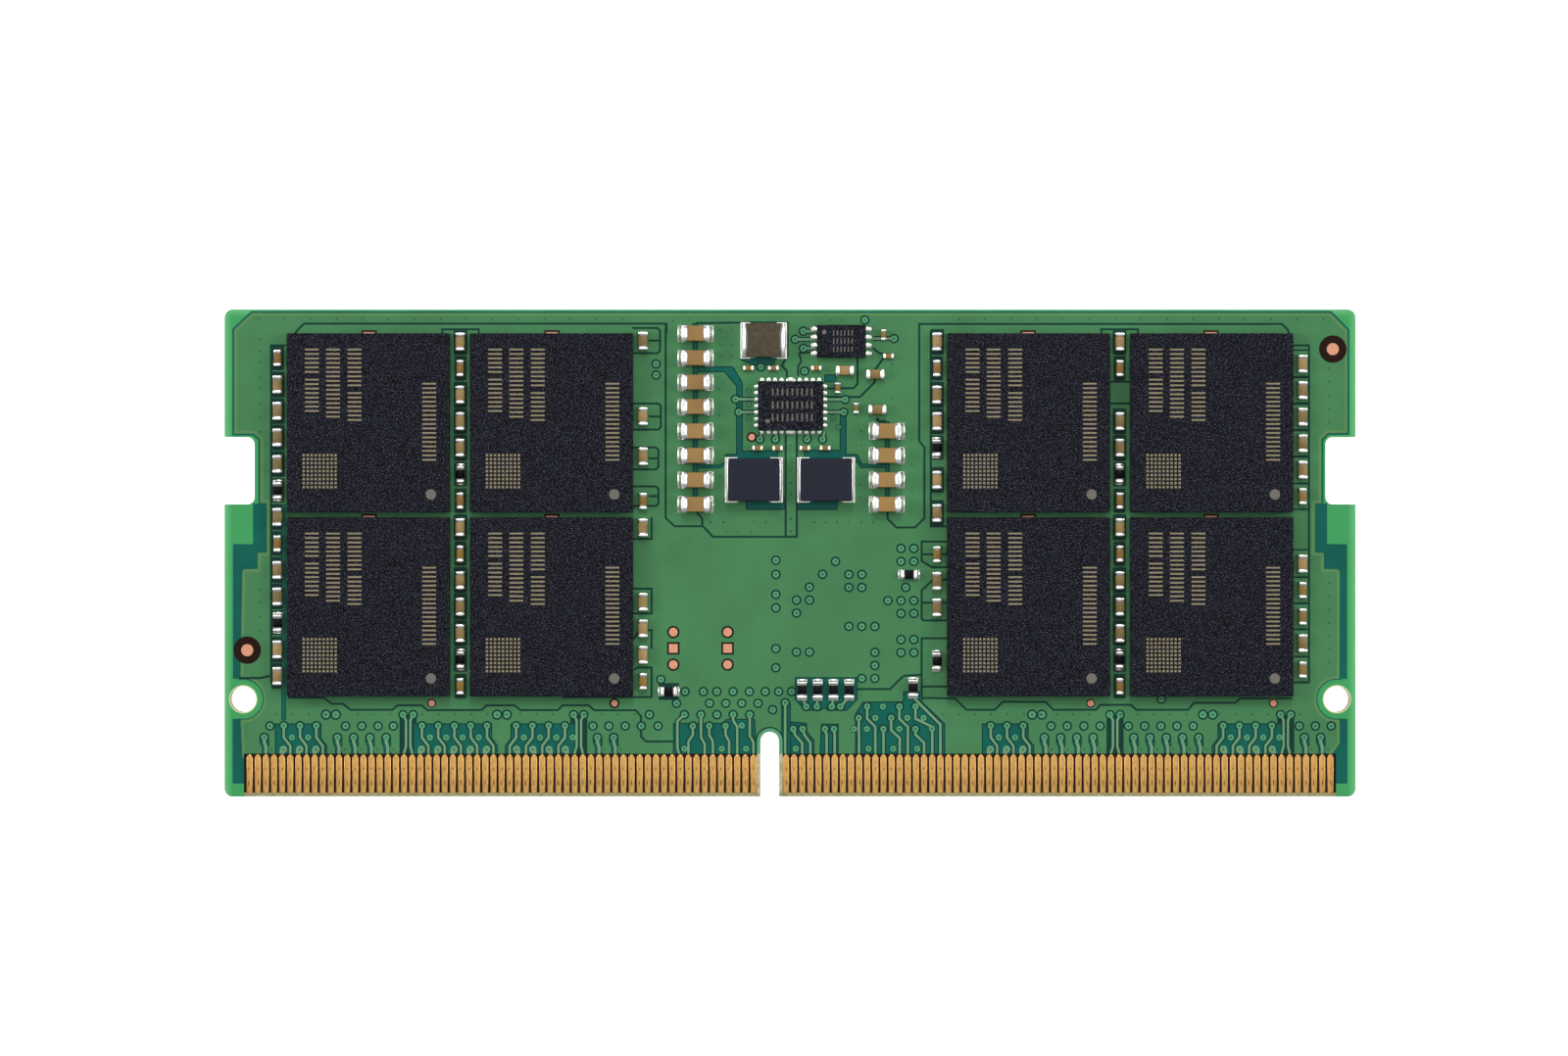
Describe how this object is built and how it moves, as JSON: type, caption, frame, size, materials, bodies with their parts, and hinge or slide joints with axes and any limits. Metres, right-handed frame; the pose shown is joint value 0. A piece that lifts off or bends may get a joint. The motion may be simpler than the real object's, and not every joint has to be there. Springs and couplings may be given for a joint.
{
  "type": "memory module",
  "caption": "Flat small-outline memory module: notched green circuit board with a keyed gold contact edge, square memory packages, a power manager, inductors and chip passives.",
  "frame": {"origin": "under the centre of the board outline, on the lowest face (the rear label)", "axes": "+X along the board's long side, +Y away from the contact edge, +Z out of the populated face"},
  "size_m": [0.0696, 0.03, 0.0025],
  "materials": {
    "laminate": "sawn glass-epoxy laminate",
    "solder_mask": "cured green mask film, semi-gloss",
    "contact_gold": "gold plated",
    "bare_copper": "bare copper, satin",
    "label_paper": "matt white",
    "package_mould": "fine-grained moulded epoxy",
    "package_substrate": "sawn laminate",
    "solder": "reflowed solder",
    "silicon": "polished",
    "tinned_lands": "tinned copper",
    "inductor_core": "moulded iron powder, coated",
    "coil_copper": "enamelled copper",
    "resistor_ceramic": "white alumina",
    "resistor_overcoat": "black glaze",
    "tin_terminals": "matt tin",
    "capacitor_ceramic": "fired ceramic"
  },
  "bodies": {
    "root": {"capacitor_0201_bodies": "capacitor_ceramic", "capacitor_0201_terminals": "tin_terminals", "capacitor_0402_bodies": "capacitor_ceramic", "capacitor_0402_terminals": "tin_terminals", "capacitor_0603_bodies": "capacitor_ceramic", "capacitor_0603_terminals": "tin_terminals", "circuit_board": "laminate", "fiducial_marks": "bare_copper", "front_contacts": "contact_gold", "front_solder_mask": "solder_mask", "input_inductor_coil": "coil_copper", "input_inductor_core": "inductor_core", "input_inductor_terminals": "tin_terminals", "interface_hub_die": "silicon", "interface_hub_lands": "tinned_lands", "interface_hub_mould": "package_mould", "memory_1_balls": "solder", "memory_1_mould": "package_mould", "memory_1_substrate": "package_substrate", "memory_2_balls": "solder", "memory_2_mould": "package_mould", "memory_2_substrate": "package_substrate", "memory_3_balls": "solder", "memory_3_mould": "package_mould", "memory_3_substrate": "package_substrate", "memory_4_balls": "solder", "memory_4_mould": "package_mould", "memory_4_substrate": "package_substrate", "memory_5_balls": "solder", "memory_5_mould": "package_mould", "memory_5_substrate": "package_substrate", "memory_6_balls": "solder", "memory_6_mould": "package_mould", "memory_6_substrate": "package_substrate", "memory_7_balls": "solder", "memory_7_mould": "package_mould", "memory_7_substrate": "package_substrate", "memory_8_balls": "solder", "memory_8_mould": "package_mould", "memory_8_substrate": "package_substrate", "memory_dies": "silicon", "power_inductor_left_coil": "coil_copper", "power_inductor_left_core": "inductor_core", "power_inductor_left_terminals": "tin_terminals", "power_inductor_right_coil": "coil_copper", "power_inductor_right_core": "inductor_core", "power_inductor_right_terminals": "tin_terminals", "power_manager_die": "silicon", "power_manager_lands": "tinned_lands", "power_manager_mould": "package_mould", "rear_contacts": "contact_gold", "rear_label": "label_paper", "rear_solder_mask": "solder_mask", "resistor_0402_bodies": "resistor_ceramic", "resistor_0402_overcoats": "resistor_overcoat", "resistor_0402_terminals": "tin_terminals", "solder_joints": "solder", "test_pads": "bare_copper"}
  },
  "joints": []
}
